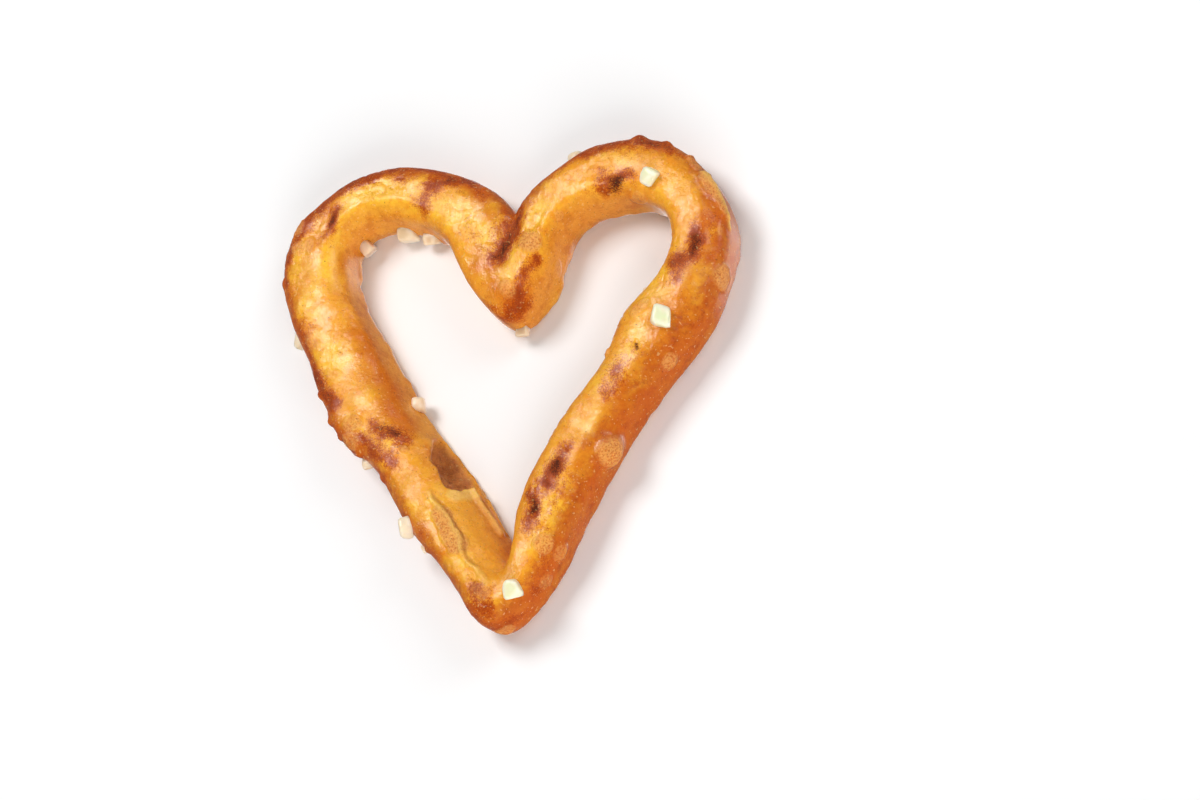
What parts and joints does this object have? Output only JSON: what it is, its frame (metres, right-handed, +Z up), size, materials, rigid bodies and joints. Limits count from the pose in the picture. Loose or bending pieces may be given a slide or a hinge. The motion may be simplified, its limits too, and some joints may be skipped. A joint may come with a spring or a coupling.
{
  "type": "pretzel",
  "caption": "Small crisp heart-shaped pretzel: one ring of baked dough with a flat back, a glossy domed front and coarse salt grains, for snack bowls and food scenes.",
  "frame": {"origin": "under the middle of the box that bounds the pretzel, on the surface that its flat back rests on", "axes": "+Z up, out of the domed front face; -Y toward the tip of the heart; +X to the right as seen from the front with the tip down"},
  "size_m": [0.0389, 0.04, 0.0054],
  "materials": {
    "crust": "glossy golden-brown baked crust with darker toasted patches and pale salt grains"
  },
  "bodies": {
    "root": {"pretzel": "crust"}
  },
  "joints": []
}
